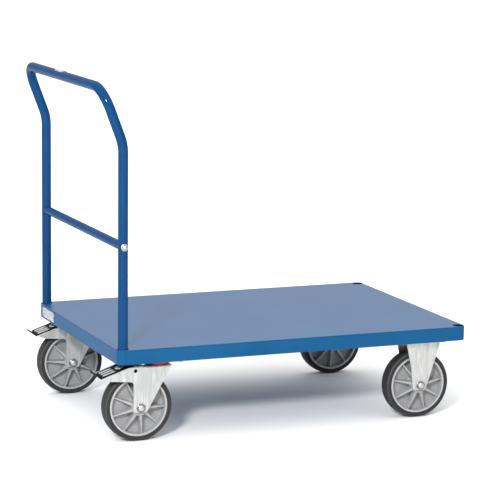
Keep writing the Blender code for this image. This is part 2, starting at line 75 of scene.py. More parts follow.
def middle(node):
    """The middle of a CAD node's box."""
    low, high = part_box(node)
    return (low + high) / 2


def size(node):
    """The extent of a CAD node's box."""
    low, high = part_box(node)
    return high - low


# --- mesh tools ---


def new_object(name, data):
    """An object in the scene."""
    obj = bpy.data.objects.new(name, data)
    bpy.context.scene.collection.objects.link(obj)
    return obj


def from_bmesh(bm, name):
    """Turns a bmesh into a mesh with its faces pointing out."""
    bmesh.ops.recalc_face_normals(bm, faces=bm.faces)
    mesh = bpy.data.meshes.new(name)
    bm.to_mesh(mesh)
    bm.free()
    return mesh


def rod(radius, start, end, segments=32):
    """A capped cylinder from one point to another."""
    start, end = Vector(start), Vector(end)
    turn = Vector((0, 0, 1)).rotation_difference(end - start).to_matrix().to_4x4()
    bm = bmesh.new()
    bmesh.ops.create_cone(bm, cap_ends=True, segments=segments, radius1=radius, radius2=radius,
                          depth=(end - start).length, matrix=Matrix.Translation((start + end) / 2) @ turn)
    return from_bmesh(bm, "rod")


def baked(obj):
    """The mesh of an object with its modifiers applied; the object is removed."""
    bpy.context.view_layer.update()
    mesh = bpy.data.meshes.new_from_object(obj.evaluated_get(bpy.context.evaluated_depsgraph_get()))
    mesh.transform(obj.matrix_world)
    bpy.data.objects.remove(obj)
    return mesh


def combined(base, other, operation):
    """The exact Boolean of two meshes."""
    base_object, other_object = new_object("working", base), new_object("working", other)
    boolean = base_object.modifiers.new("boolean", "BOOLEAN")
    boolean.operation = operation
    boolean.object = other_object
    mesh = baked(base_object)
    bpy.data.objects.remove(other_object)
    return mesh


def cut(base, *cutters):
    """Cuts each cutter away from a mesh."""
    for cutter in cutters:
        base = combined(base, cutter, "DIFFERENCE")
    return base


def fused(base, *others):
    """Joins meshes that overlap into one body."""
    for other in others:
        base = combined(base, other, "UNION")
    return base


def together(*meshes):
    """Several closed shells in one mesh."""
    bm = bmesh.new()
    for mesh in meshes:
        bm.from_mesh(mesh)
    return from_bmesh(bm, "together")


def moved(mesh, offset):
    """A mesh shifted by an offset."""
    mesh.transform(Matrix.Translation(offset))
    return mesh


def turned(mesh, degrees, axis):
    """A mesh turned about an axis through its origin."""
    mesh.transform(Matrix.Rotation(radians(degrees), 4, axis))
    return mesh


def welded(mesh):
    """Welds loose caps and doubled points."""
    bm = bmesh.new()
    bm.from_mesh(mesh)
    bmesh.ops.remove_doubles(bm, verts=bm.verts, dist=MERGE_REACH)
    return from_bmesh(bm, "welded")


def sliced(mesh, places):
    """A bmesh of a mesh, cut through by planes across X."""
    bm = bmesh.new()
    bm.from_mesh(mesh)
    for x in places:
        bmesh.ops.bisect_plane(bm, geom=bm.verts[:] + bm.edges[:] + bm.faces[:], dist=MERGE_REACH,
                               plane_co=(x, 0, 0), plane_no=(1, 0, 0))
    return bm


def two_toned(mesh, first, second, is_second):
    """Gives a mesh two materials; the second goes on the faces whose centre passes a test."""
    mesh.materials.append(first)
    mesh.materials.append(second)
    for face in mesh.polygons:
        face.material_index = int(is_second(face.center))
    return mesh


def polyline(points, dimensions):
    """A curve of straight runs through points."""
    curve = bpy.data.curves.new("polyline", "CURVE")
    curve.dimensions = dimensions
    spline = curve.splines.new("POLY")
    spline.points.add(len(points) - 1)
    for point, place in zip(spline.points, points):
        point.co = (*place, 1)
    return curve


def rectangle(low_x, low_y, high_x, high_y):
    """The corners of a rectangle, for an outline."""
    return [(low_x, low_y), (high_x, low_y), (high_x, high_y), (low_x, high_y)]


def dome(radius, rise, steps, base=0.0):
    """Profile points down over a dome, from its top to its rim."""
    turns = [radians(90 / steps * i) for i in range(steps + 1)]
    return [(radius * sin(turn), base + rise * cos(turn)) for turn in turns]


def plate(outline, thickness):
    """A flat plate in the XY plane, half its thickness on each side of Z = 0."""
    curve = polyline([(x, y, 0) for x, y in outline], "2D")
    curve.fill_mode = "BOTH"
    curve.extrude = thickness / 2
    curve.splines[0].use_cyclic_u = True
    return welded(baked(new_object("plate", curve)))


def standing_plate(outline, thickness, y=0.0):
    """A plate standing in the XZ plane, its middle at the given Y."""
    return moved(turned(plate(outline, thickness), 90, "X"), (0, y, 0))


def lathe(profile, segments=96):
    """A solid of revolution about Z from a closed profile of (radius, height)."""
    bm = bmesh.new()
    on_axis = profile[0][0] == 0 and profile[-1][0] == 0
    verts = [bm.verts.new((radius, 0, height)) for radius, height in profile]
    edges = [bm.edges.new(pair) for pair in zip(verts, verts[1:])]
    if not on_axis:
        edges.append(bm.edges.new((verts[-1], verts[0])))
    bmesh.ops.spin(bm, geom=verts + edges, cent=(0, 0, 0), axis=(0, 0, 1), angle=2 * pi,
                   steps=segments, use_merge=False)
    bmesh.ops.remove_doubles(bm, verts=bm.verts, dist=MERGE_REACH / 2)
    return from_bmesh(bm, "lathe")


def lathe_across(profile, segments=96):
    """A solid of revolution about Y. Heights run towards -Y."""
    return turned(lathe(profile, segments), 90, "X")


def fillet(corner, before, after, radius, steps):
    """Points of the arc that rounds a corner between two unit directions that leave it."""
    if radius == 0:
        return [corner]
    half = before.angle(after) / 2
    centre = corner + (before + after).normalized() * radius / sin(half)
    start = corner + before * radius / tan(half) - centre
    end = corner + after * radius / tan(half) - centre
    sweep = start.angle(end)
    points = []
    for i in range(steps + 1):
        t = i / steps
        arm = start * sin((1 - t) * sweep) + end * sin(t * sweep)
        points.append(centre + arm / sin(sweep))
    return points


def rounded(corners, radius, steps=6):
    """A closed outline whose corners are rounded. A corner is (x, y) or (x, y, its own radius)."""
    outline = []
    for i, corner in enumerate(corners):
        here = Vector(corner[:2])
        before = (Vector(corners[i - 1][:2]) - here).normalized()
        after = (Vector(corners[(i + 1) % len(corners)][:2]) - here).normalized()
        own = corner[2] if len(corner) > 2 else radius
        outline += [tuple(point) for point in fillet(here, before, after, own, steps)]
    return outline


def tube(corners, radii, radius, wall):
    """A hollow tube along a path whose inner corners are rounded."""
    path = [corners[0]]
    for i, bend in enumerate(radii, start=1):
        before = (corners[i - 1] - corners[i]).normalized()
        after = (corners[i + 1] - corners[i]).normalized()
        path += fillet(corners[i], before, after, bend, BEND_STEPS)
    curve = polyline(path + [corners[-1]], "3D")
    curve.bevel_depth = radius
    curve.bevel_resolution = BEND_STEPS
    obj = new_object("tube", welded(baked(new_object("core", curve))))
    solidify = obj.modifiers.new("wall", "SOLIDIFY")
    solidify.thickness = wall
    solidify.offset = -1
    return welded(baked(obj))


def bead(path, radius, seed):
    """A weld bead from one point to another: overlapping ripples on a thin round run."""
    start, end = path
    steps = max(8, int((end - start).length / 0.0006))
    curve = polyline([start.lerp(end, i / steps) for i in range(steps + 1)], "3D")
    curve.bevel_depth = radius
    curve.bevel_resolution = 3
    curve.use_fill_caps = True
    for i, point in enumerate(curve.splines[0].points):
        point.radius = 0.86 + 0.14 * abs(sin(i * 1.05 + seed)) if 0 < i < steps else 0.5
    return welded(baked(new_object("bead", curve)))


def hexagon(radius, low_y, high_y):
    """A hexagonal head along Y whose corners are chamfered by a turned blank."""
    head = rod(radius, (0, low_y, 0), (0, high_y, 0), 6)
    chamfer = 0.18 * radius
    wide = radius * 1.02
    blank = lathe_across([(0, -low_y), (radius - chamfer, -low_y), (wide, -low_y - chamfer * 0.6),
                          (wide, -high_y), (0, -high_y)], 48)
    return combined(head, blank, "INTERSECT")


# --- materials ---


def mapped(tree, source, low, high, start, end, interpolation="LINEAR"):
    """Maps a range of values to another, clamped at both ends; start and end are numbers or outputs."""
    node = tree.nodes.new("ShaderNodeMapRange")
    node.interpolation_type = interpolation
    for socket, value in (("From Min", low), ("From Max", high), ("To Min", start), ("To Max", end)):
        if isinstance(value, (int, float)):
            node.inputs[socket].default_value = value
        else:
            tree.links.new(value, node.inputs[socket])
    tree.links.new(source, node.inputs["Value"])
    return node.outputs["Result"]


class Finish:
    """A Principled material, and short calls that build its nodes."""

    def __init__(self, name, roughness, metallic=0.0, **sockets):
        self.material = bpy.data.materials.new(name)
        self.material.use_nodes = True
        self.nodes = self.material.node_tree.nodes
        self.shader = self.nodes["Principled BSDF"]
        self.place = self.nodes.new("ShaderNodeTexCoord").outputs["Object"]
        self.shader.inputs["Roughness"].default_value = roughness
        self.shader.inputs["Metallic"].default_value = metallic
        for socket, value in sockets.items():
            self.shader.inputs[socket].default_value = value

    def link(self, source, target):
        self.material.node_tree.links.new(source, target)

    def stretched(self, stretch, turn=(0, 0, 0)):
        """Coordinates scaled along each axis, for streaks and grain."""
        mapping = self.nodes.new("ShaderNodeMapping")
        mapping.inputs["Scale"].default_value = stretch
        mapping.inputs["Rotation"].default_value = turn
        self.link(self.place, mapping.inputs["Vector"])
        return mapping.outputs["Vector"]

    def noise(self, scale, detail=3.0, rough=0.5, stretch=None, turn=(0, 0, 0)):
        """Noise with a number of lumps per metre."""
        node = self.nodes.new("ShaderNodeTexNoise")
        node.inputs["Scale"].default_value = scale
        node.inputs["Detail"].default_value = detail
        node.inputs["Roughness"].default_value = rough
        self.link(self.stretched(stretch, turn) if stretch else self.place, node.inputs["Vector"])
        return node.outputs["Fac"]

    def ramp(self, source, low, high, start=0.0, end=1.0):
        return mapped(self.material.node_tree, source, low, high, start, end)

    def product(self, first, second):
        node = self.nodes.new("ShaderNodeMath")
        node.operation = "MULTIPLY"
        self.link(first, node.inputs[0])
        self.link(second, node.inputs[1])
        return node.outputs["Value"]

    def mixed(self, amount, first, second):
        """A colour between two, each a colour or a node's output."""
        node = self.nodes.new("ShaderNodeMix")
        node.data_type = "RGBA"
        self.link(amount, node.inputs["Factor"])
        for socket, value in (("A", first), ("B", second)):
            target = next(s for s in node.inputs if s.name == socket and s.type == "RGBA")
            if isinstance(value, tuple):
                target.default_value = (*value, 1)
            else:
                self.link(value, target)
        return next(s for s in node.outputs if s.type == "RGBA")

    def colour(self, output):
        self.link(output, self.shader.inputs["Base Color"])

    def roughness(self, output):
        self.link(output, self.shader.inputs["Roughness"])

    def drift(self, source, dark, light, glossiest, dullest):
        """Lets the colour and the roughness wander together between two limits."""
        self.colour(self.mixed(self.ramp(source, 0.3, 0.7), dark, light))
        self.roughness(self.ramp(source, 0.3, 0.7, glossiest, dullest))

    def bump(self, *layers):
        """Adds up height layers of (output, depth in metres)."""
        normal = None
        for output, depth in layers:
            node = self.nodes.new("ShaderNodeBump")
            node.inputs["Distance"].default_value = depth
            self.link(output, node.inputs["Height"])
            if normal:
                self.link(normal, node.inputs["Normal"])
            normal = node.outputs["Normal"]
        self.link(normal, self.shader.inputs["Normal"])


def powder_coat(name, dark, light, ior, rough, scuffed=False, lacquer=0.0):
    """Glossy blue powder coat: orange peel and a fine speckle, faint scuffs where asked for."""
    coat = Finish(name, rough, **{"IOR": ior, "Coat Weight": lacquer, "Coat Roughness": 0.05,
                                  "Coat IOR": 1.5})
    peel = coat.noise(420, 2.0)
    cloud = coat.noise(5, 3.0)
    speckle = coat.noise(1500, 2.0)
    glint = tuple(1.5 * part + 0.01 for part in light)
    base = coat.mixed(coat.ramp(cloud, 0.3, 0.7), dark, light)
    base = coat.mixed(coat.ramp(speckle, 0.62, 0.78, 0.0, 0.35), base, glint)
    gloss = coat.ramp(cloud, 0.3, 0.7, rough - 0.03, rough + 0.04)
    if scuffed:
        streak = coat.noise(14, 5.0, 0.7, stretch=(1.0, 22.0, 1.0), turn=(0, 0, 0.12))
        cross = coat.noise(11, 5.0, 0.7, stretch=(18.0, 1.0, 1.0), turn=(0, 0, 0.35))
        scuff = coat.product(coat.ramp(streak, 0.60, 0.74), coat.ramp(cross, 0.35, 0.7, 0.2, 1.0))
        base = coat.mixed(coat.product(scuff, coat.ramp(speckle, 0.3, 0.7, 0.1, 0.5)), base, glint)
        gloss = coat.ramp(scuff, 0.0, 1.0, rough - 0.03, rough + 0.10)
    coat.colour(base)
    coat.roughness(gloss)
    coat.bump((peel, 0.00006), (speckle, 0.00002))
    return coat.material


def zinc_plate(name, stretch):
    """Bright zinc plating on pressed sheet: soft clouds, drawing streaks and small handling marks."""
    zinc = Finish(name, 0.42, metallic=0.80, **{"IOR": 1.6})
    cloud = zinc.noise(30, 3.0)
    band = zinc.noise(9, 2.0, 0.5, stretch=stretch)
    streak = zinc.noise(26, 4.0, 0.6, stretch=stretch)
    grain = zinc.noise(300, 3.0, 0.6, stretch=stretch)
    marks = zinc.ramp(zinc.noise(700, 3.0), 0.66, 0.74)
    base = zinc.mixed(zinc.ramp(cloud, 0.3, 0.7), (0.47, 0.475, 0.465), (0.57, 0.57, 0.56))
    base = zinc.mixed(zinc.ramp(band, 0.48, 0.60, 0.0, 0.7), base, (0.36, 0.37, 0.37))
    base = zinc.mixed(zinc.ramp(streak, 0.42, 0.66, 0.0, 0.6), base, (0.35, 0.36, 0.355))
    base = zinc.mixed(zinc.ramp(grain, 0.5, 0.75, 0.0, 0.4), base, (0.38, 0.39, 0.39))
    zinc.colour(zinc.mixed(marks, base, (0.30, 0.31, 0.32)))
    zinc.roughness(zinc.ramp(band, 0.35, 0.65, 0.30, 0.50))
    zinc.bump((grain, 0.00004), (zinc.noise(110, 2.0), 0.00015))
    return zinc.material


def machined_steel():
    """Plain steel with fine turning marks and a film of oil."""
    steel = Finish("machined_steel", 0.32, metallic=0.95)
    grooves = steel.noise(700, 3.0, 0.6, stretch=(1.0, 6.0, 1.0))
    film = steel.noise(60, 3.0)
    steel.colour(steel.mixed(steel.ramp(film, 0.3, 0.75), (0.50, 0.50, 0.51), (0.33, 0.32, 0.31)))
    steel.roughness(steel.ramp(film, 0.3, 0.7, 0.24, 0.42))
    steel.bump((grooves, 0.00004))
    return steel.material


def grey_polyamide():
    """Moulded grey plastic of the wheel centres: flow marks, a mould texture and a painted highlight on
    convex edges and rib tops.
    """
    plastic = Finish("grey_polyamide", 0.48, **{"IOR": 1.53})
    flow = plastic.noise(55, 4.0, 0.6)
    texture = plastic.noise(1400, 2.0)
    base = plastic.mixed(plastic.ramp(flow, 0.3, 0.7), (0.225, 0.226, 0.230), (0.270, 0.271, 0.275))
    # Painted highlight: convex edges and rib tops, found by pointiness, are mixed towards a light grey.
    bulge = plastic.nodes.new("ShaderNodeNewGeometry").outputs["Pointiness"]
    edge = plastic.ramp(bulge, 0.53, 0.60, 0.0, 0.6)
    plastic.colour(plastic.mixed(edge, base, (0.42, 0.42, 0.425)))
    plastic.roughness(plastic.ramp(flow, 0.3, 0.7, 0.42, 0.56))
    plastic.bump((texture, 0.00004), (plastic.noise(240, 2.0), 0.00008))
    return plastic.material


def rim_highlight_plastic():
    """The same plastic, lighter, for the rim's face: a painted highlight, with fine rings."""
    plastic = Finish("polyamide_painted_highlight", 0.40, **{"IOR": 1.53})
    flow = plastic.noise(70, 4.0, 0.6)
    plastic.drift(flow, (0.29, 0.29, 0.295), (0.35, 0.35, 0.355), 0.34, 0.48)
    plastic.bump((plastic.noise(1100, 2.0), 0.00003))
    return plastic.material


def rubber(name, dark, light):
    """Grey elastomer: fine pores, faint dust and small scuffs."""
    tyre = Finish(name, 0.72, **{"IOR": 1.48, "Specular IOR Level": 0.3})
    dust = tyre.noise(45, 5.0, 0.65)
    pores = tyre.noise(1800, 2.0)
    base = tyre.mixed(tyre.ramp(dust, 0.35, 0.75), dark, light)
    tyre.colour(tyre.mixed(tyre.ramp(pores, 0.6, 0.75, 0.0, 0.3), base, (0.09, 0.09, 0.09)))
    tyre.roughness(tyre.ramp(dust, 0.3, 0.7, 0.60, 0.78))
    tyre.bump((pores, 0.00004), (tyre.noise(300, 3.0), 0.00010))
    return tyre.material


def simple_finish(name, dark, light, rough, metallic, grain, depth, ior=1.45):
    """A finish whose colour and gloss wander between two limits over a grained surface."""
    finish = Finish(name, rough, metallic, IOR=ior)
    cloud = finish.noise(80, 4.0, 0.6)
    finish.drift(cloud, dark, light, rough - 0.07, rough + 0.07)
    finish.bump((finish.noise(grain, 3.0), depth))
    return finish.material


def printed_label():
    """White film with soft grey blots where the real label is printed; it says nothing."""
    film = Finish("label_film", 0.38, **{"Coat Weight": 0.3, "Coat Roughness": 0.15})
    blots = film.noise(190, 3.0, 0.7, stretch=(1.0, 0.55, 1.6))
    patch = film.noise(45, 2.0)
    ink = film.product(film.ramp(blots, 0.46, 0.56, 0.0, 0.9), film.ramp(patch, 0.34, 0.46))
    film.colour(film.mixed(ink, (0.38, 0.40, 0.44), (0.05, 0.05, 0.06)))
    film.roughness(film.ramp(patch, 0.3, 0.7, 0.32, 0.44))
    film.bump((film.noise(500, 2.0), 0.00002))
    return film.material


def sticker_film():
    """White film with a beige middle, slightly yellowed."""
    film = Finish("sticker_film", 0.40, **{"Coat Weight": 0.3, "Coat Roughness": 0.2})
    tone = film.noise(90, 3.0)
    film.colour(film.mixed(film.ramp(tone, 0.3, 0.7), (0.46, 0.46, 0.45), (0.26, 0.24, 0.20)))
    film.bump((film.noise(600, 2.0), 0.00002))
    return film.material


blue = powder_coat("blue_powder_coat", (0.007, 0.064, 0.160), (0.009, 0.075, 0.182), 1.10, 0.26)
tube_blue = powder_coat("tube_powder_coat", (0.002, 0.036, 0.114), (0.003, 0.043, 0.132), 1.04, 0.20,
                        lacquer=0.16)
# A much darker blue for the socket bores' inner walls: painted shade.
bore_shade_blue = powder_coat("bore_painted_shade", (0.001, 0.008, 0.026), (0.002, 0.014, 0.040), 1.10, 0.45)
deck_blue = powder_coat("deck_powder_coat", (0.008, 0.066, 0.172), (0.010, 0.074, 0.190), 1.46, 0.34,
                        scuffed=True)
zinc = zinc_plate("zinc_sheet_upright", (9.0, 9.0, 1.0))
zinc_flat = zinc_plate("zinc_sheet_flat", (1.0, 9.0, 9.0))
steel = machined_steel()
wheel_grey = grey_polyamide()
rim_highlight_grey = rim_highlight_plastic()
tyre_rubber = rubber("grey_elastomer", (0.010, 0.010, 0.011), (0.020, 0.020, 0.021))
# A lighter rubber for the tyre's shoulder band: a painted highlight.
shoulder_highlight_rubber = rubber("elastomer_painted_highlight", (0.024, 0.024, 0.025), (0.046, 0.046, 0.048))
red = simple_finish("dark_red_plastic", (0.26, 0.006, 0.020), (0.33, 0.010, 0.030), 0.40, 0.0, 900, 0.00003)
black = simple_finish("black_coat", (0.005, 0.005, 0.005), (0.012, 0.012, 0.013), 0.50, 0.0, 700, 0.00008,
                      ior=1.10)
boss_grey = simple_finish("grey_boss", (0.24, 0.26, 0.255), (0.34, 0.36, 0.355), 0.36, 0.5, 800, 0.00005)
steel_bright = simple_finish("bright_zinc_steel", (0.34, 0.35, 0.35), (0.50, 0.50, 0.49), 0.36, 0.85, 650,
                             0.00004)
oiled = simple_finish("oiled_steel", (0.10, 0.10, 0.10), (0.19, 0.19, 0.19), 0.36, 0.85, 500, 0.00005)
label = printed_label()
sticker = sticker_film()


# --- placing pieces ---


def place_piece(name, mesh, material, body, place=(0, 0, 0), replaces=(), edge=0.0):
    """Adds a piece that rides on a body. A positive edge rounds its sharp edges."""
    if not mesh.materials:
        mesh.materials.append(material)
    mesh.validate()
    mesh.shade_smooth()
    if edge == 0:
        mesh.set_sharp_from_angle(angle=SHADING_ANGLE)
    obj = new_object(name, mesh)
    obj.location = place
    if edge > 0:
        round_edges(obj, edge)
    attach(obj, body)
    if replaces:
        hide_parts(*replaces)


def round_edges(obj, edge, steps=2):
    """Rounds an object's sharp edges and keeps its flat faces flat."""
    bevel = obj.modifiers.new("edges", "BEVEL")
    bevel.limit_method = "ANGLE"
    bevel.angle_limit = BEVEL_ANGLE
    bevel.width = edge
    bevel.segments = steps
    bevel.miter_outer = "MITER_ARC"
    obj.modifiers.new("normals", "WEIGHTED_NORMAL").keep_sharp = True


def dress(node, material, edge=0.0, steps=2):
    """Gives a CAD node its material and, where asked for, rounded edges."""
    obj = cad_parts[node]
    if obj.material_slots:
        obj.material_slots[0].material = material
    else:
        obj.data.materials.append(material)
    if edge > 0:
        weld = obj.modifiers.new("weld", "WELD")
        weld.merge_threshold = MERGE_REACH
        round_edges(obj, edge, steps)


# --- platform ---


def weld_row(name, paths, radius=0.0016):
    """Weld beads along several paths, as one piece of the platform."""
    beads = [bead([Vector(point) for point in path], radius, seed) for seed, path in enumerate(paths)]
    place_piece(name, together(*beads), blue, "frame")


def corner_socket(end, side):
    """A length of tube in the platform's corner, its lips rounded."""
    node = f"corner_socket_{end}_{side}"
    low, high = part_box(node)
    radius, lip = (high.x - low.x) / 2, 0.0006
    mesh = lathe(rounded(rectangle(SOCKET_BORE, 0, radius, high.z - low.z), lip, 3))
    # The bore's inner faces take the darker blue: painted shade inside the tube.
    two_toned(mesh, blue, bore_shade_blue, lambda place: hypot(place.x, place.y) < SOCKET_BORE + 0.0001)
    centre = (low + high) / 2
    place_piece(node + "_tube", mesh, None, "frame", (centre.x, centre.y, low.z), [node])


def platform_welds():
    """Beads where the rails meet the sockets, and where the cross members meet the rails."""
    paths = []
    for end, along in (("rear", 1), ("front", -1)):
        for side, across in SIDES:
            low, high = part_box(f"corner_socket_{end}_{side}")
            centre, reach = (low + high) / 2, (high.x - low.x) / 2 + 0.0006
            for turn in (28, 62):
                angle = radians(turn)
                x = centre.x + along * reach * cos(angle)
                y = centre.y - across * reach * sin(angle)
                paths.append([(x, y, low.z + 0.004), (x, y, high.z - 0.008)])
    weld_row("socket_welds", paths)

    paths = []
    for end in ENDS:
        low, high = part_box(f"caster_bearer_{end}")
        for y in (low.y + 0.0012, high.y - 0.0012):
            for x in (low.x + 0.012, middle(f"caster_bearer_{end}").x + 0.012):
                paths.append([(x, y, low.z - 0.0004), (x + 0.045, y, low.z - 0.0004)])
    low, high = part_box("deck_stiffener")
    for x in (low.x - 0.0008, high.x + 0.0008):
        for step in range(-2, 3):
            y = step * 0.13
            paths.append([(x, y - 0.018, high.z - 0.0008), (x, y + 0.018, high.z - 0.0008)])
    weld_row("cross_member_welds", paths, 0.0019)


dress("deck_plate", deck_blue, 0.0009, 3)
for rail_end in ENDS:
    dress(f"end_rail_{rail_end}", blue, 0.0009, 3)
    dress(f"caster_bearer_{rail_end}", blue, 0.0012, 3)
dress("deck_stiffener", blue, 0.0012, 3)
for rail_side, _ in SIDES:
    dress(f"side_rail_{rail_side}", blue, 0.0009, 3)
    for rail_end in ENDS:
        corner_socket(rail_end, rail_side)
platform_welds()


# --- push handle ---

handle_low, handle_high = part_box("push_handle")
strut = middle("handle_strut")
upright_y = handle_high.y - TUBE_RADIUS


def push_handle():
    """The bent tube, open at both feet."""
    top_x, top_z = handle_low.x + TUBE_RADIUS, handle_high.z - TUBE_RADIUS
    places = [(strut.x, handle_low.z), (strut.x, BEND_HEIGHT), (top_x, top_z)]
    right = [Vector((x, -upright_y, z)) for x, z in places]
    left = [Vector((x, upright_y, z)) for x, z in reversed(places)]
    bends = [BEND_RADIUS, CORNER_RADIUS, CORNER_RADIUS, BEND_RADIUS]
    mesh = tube(right + left, bends, TUBE_RADIUS, TUBE_WALL)
    place_piece("push_handle_tube", mesh, tube_blue, "frame", replaces=["push_handle"])


def handle_strut():
    """The strut, its ends shaped to the uprights they bear on."""
    mesh = rod(size("handle_strut").z / 2, (0, -upright_y, 0), (0, upright_y, 0), 64)
    saddles = [rod(TUBE_RADIUS + GAP, (0, sign * upright_y, -0.03), (0, sign * upright_y, 0.03), 64)
               for _, sign in SIDES]
    place_piece("strut_tube", cut(mesh, *saddles), tube_blue, "frame", strut, ["handle_strut"],
                0.0004)


def strut_bolts():
    """Domed bolts on washers, one through each upright."""
    for side, sign in SIDES:
        washer, shank, foot, deep = size(f"strut_bolt_{side}").z / 2, 0.004, 0.0002, 0.045
        rim = [(0.0070, 0.0021), (washer - 0.0006, 0.0020), (washer - 0.0001, 0.0016), (washer, 0.0010),
               (washer - 0.0004, foot), (shank, foot), (shank, -deep), (0, -deep)]
        mesh = lathe_across(dome(0.0072, 0.0058, 12, 0.0036) + rim, 48)
        if sign > 0:
            turned(mesh, 180, "Z")
        place = (strut.x, sign * (handle_high.y + 0.0001), strut.z)
        place_piece(f"strut_bolt_{side}_domed", mesh, steel, "frame", place,
                    [f"strut_bolt_{side}"])


def labels():
    """A plain plate on the rear rail held by four rivets, and a plain sticker on top of the crossbar."""
    centre, half = middle("rating_plate"), size("rating_plate") / 2
    film = plate(rounded(rectangle(-half.y, -half.z, half.y, half.z), 0.003, 4), 2 * half.x)
    inset, rivet = 0.0045, 0.0017
    rivets = [moved(lathe(dome(rivet, 0.0009, 5, half.x) + [(rivet, 0), (0, 0)], 16), (y, z, 0))
              for y in (-half.y + inset, half.y - inset) for z in (-half.z + inset, half.z - inset)]
    mesh = together(film, *rivets)
    mesh.transform(Matrix(((0, 0, -1, 0), (-1, 0, 0, 0), (0, 1, 0, 0), (0, 0, 0, 1))))
    place_piece("rating_plate_film", mesh, label, "frame", centre, ["rating_plate"], 0.0003)

    low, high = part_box("handle_label")
    centre = (low + high) / 2
    radius, half_y, reach, steps = high.z - handle_high.z + TUBE_RADIUS, (high.y - low.y) / 2, 0.62, 16
    bm = bmesh.new()
    outside, inside = [], []
    for shell, rows in ((radius, outside), (TUBE_RADIUS + 0.0001, inside)):
        for i in range(steps + 1):
            turn = 2 * i / steps - 1
            nib = 0.003 * max(0.0, abs(turn) * 4 - 3)
            x, z = shell * sin(reach * turn), shell * cos(reach * turn)
            rows.append([bm.verts.new((x, side * (half_y - nib), z)) for side in (-1, 1)])
    for i in range(steps):
        (a, b), (c, d), (e, f), (g, h) = outside[i], outside[i + 1], inside[i], inside[i + 1]
        for corners in ((a, c, d, b), (f, h, g, e), (a, e, g, c), (d, h, f, b)):
            bm.faces.new(corners)
    for i in (0, steps):
        bm.faces.new((*outside[i], *reversed(inside[i])))
    place = (handle_low.x + TUBE_RADIUS, centre.y, handle_high.z - TUBE_RADIUS)
    place_piece("crossbar_sticker", from_bmesh(bm, "sticker"), sticker, "frame", place,
                ["handle_label"])


push_handle()
handle_strut()
strut_bolts()
labels()


# --- wheels; every mesh below has its wheel's axle along Y through the origin ---

# Half a section through a wheel between two ribs, from bore to rim: (radius, height off the middle)
RIM_SECTION = [(0.0128, 0.0302), (0.0136, 0.0310), (0.0166, 0.0310), (0.0172, 0.0304), (0.0180, 0.0304),
               (0.0186, 0.0310), (0.0212, 0.0310), (0.0219, 0.0302), (0.0225, 0.0200), (0.0236, 0.0056),
               (0.0244, 0.0042), (0.0258, 0.0035), (0.0320, 0.0035), (0.0400, 0.0035), (0.0500, 0.0035),
               (0.0600, 0.0035), (0.0680, 0.0035), (0.0698, 0.0038), (0.0709, 0.0050), (0.0716, 0.0075),
               (0.0734, 0.0196), (0.0738, 0.0203), (0.0744, 0.0205), (0.0764, 0.0205), (0.0781, 0.0205),
               (0.0787, 0.0203), (0.0790, 0.0197)]
RIB_HUB, RIB_RIM = (0.0225, 0.0284), (0.0730, 0.0188)
# Each rib's flank from the web to its top: how far it stands out from the rib's width, and how high it is
RIB_FLANK = [(0.0010, 0.0), (0.00055, 0.07), (-0.0001, 0.92), (-0.0005, 1.0)]
RIB_HALF_WIDTH, RIB_FLARE = 0.0017, 0.0026
HUB_SIDE, WEB_FACE, HIGHLIGHT_FROM, GAP_COLUMNS = 0.0219, 0.0035, 0.0743, 7


def rib_at(radius):
    """The way along a rib that a radius lies, 0 to 1, and the rib's half width there."""
    t = min(1.0, max(0.0, (radius - RIB_HUB[0]) / (RIB_RIM[0] - RIB_HUB[0])))
    return t, RIB_HALF_WIDTH + RIB_FLARE * (1 - t) ** 1.6


def rib_angle(radius, half_width):
    """The angle at which a rib's flank stands from its middle."""
    return asin(half_width / max(radius, HUB_SIDE - 0.0001))


def wheel_face_points(phase):
    """One face of a wheel centre: a column for each angle, of (radius, angle, height) from bore to rim."""
    columns = []
    stations = [(-1, *flank) for flank in RIB_FLANK] + [(0, 0.0, 1.0)]
    stations += [(1, *flank) for flank in reversed(RIB_FLANK)]
    for rib in range(SPOKES):
        rib_middle = phase + 2 * pi * rib / SPOKES
        for sign, extra, rise in stations:
            column = []
            for radius, base in RIM_SECTION:
                t, half_width = rib_at(radius)
                top = RIB_HUB[1] + (RIB_RIM[1] - RIB_HUB[1]) * t
                height = max(base, WEB_FACE + rise * (top - WEB_FACE)) if radius >= HUB_SIDE else base
                column.append((radius, rib_middle + rib_angle(radius, sign * (half_width + extra)), height))
            columns.append(column)
        for step in range(1, GAP_COLUMNS + 1):
            column = []
            for radius, base in RIM_SECTION:
                edge = rib_angle(radius, rib_at(radius)[1] + RIB_FLANK[0][0])
                width = 2 * pi / SPOKES - 2 * edge
                column.append((radius, rib_middle + edge + width * step / (GAP_COLUMNS + 1), base))
            columns.append(column)
    return columns


def wheel_centre_mesh(phase):
    """The moulded wheel body: hub, web, rim and ribs on both faces; the rim's face takes a second, lighter
    material, a painted highlight.
    """
    bm = bmesh.new()
    faces = []
    for side in (-1, 1):
        grid = [[bm.verts.new((r * cos(a), side * h, r * sin(a))) for r, a, h in column]
                for column in wheel_face_points(phase)]
        faces.append(grid)
        for i, column in enumerate(grid):
            after = grid[(i + 1) % len(grid)]
            for j in range(len(column) - 1):
                face = bm.faces.new((column[j], after[j], after[j + 1], column[j + 1]))
                # Faces on the rim's face take the lighter plastic: a painted highlight.
                face.material_index = int(RIM_SECTION[j][0] > HIGHLIGHT_FROM)
    for place in (0, -1):
        for i in range(len(faces[0])):
            k = (i + 1) % len(faces[0])
            bm.faces.new((faces[0][i][place], faces[0][k][place], faces[1][k][place], faces[1][i][place]))
    return from_bmesh(bm, "wheel_centre")


def mirrored(half, between=()):
    """A profile that runs down one side, over what lies between, and back down the other."""
    return half + [*between] + [(radius, -height) for radius, height in reversed(half)]


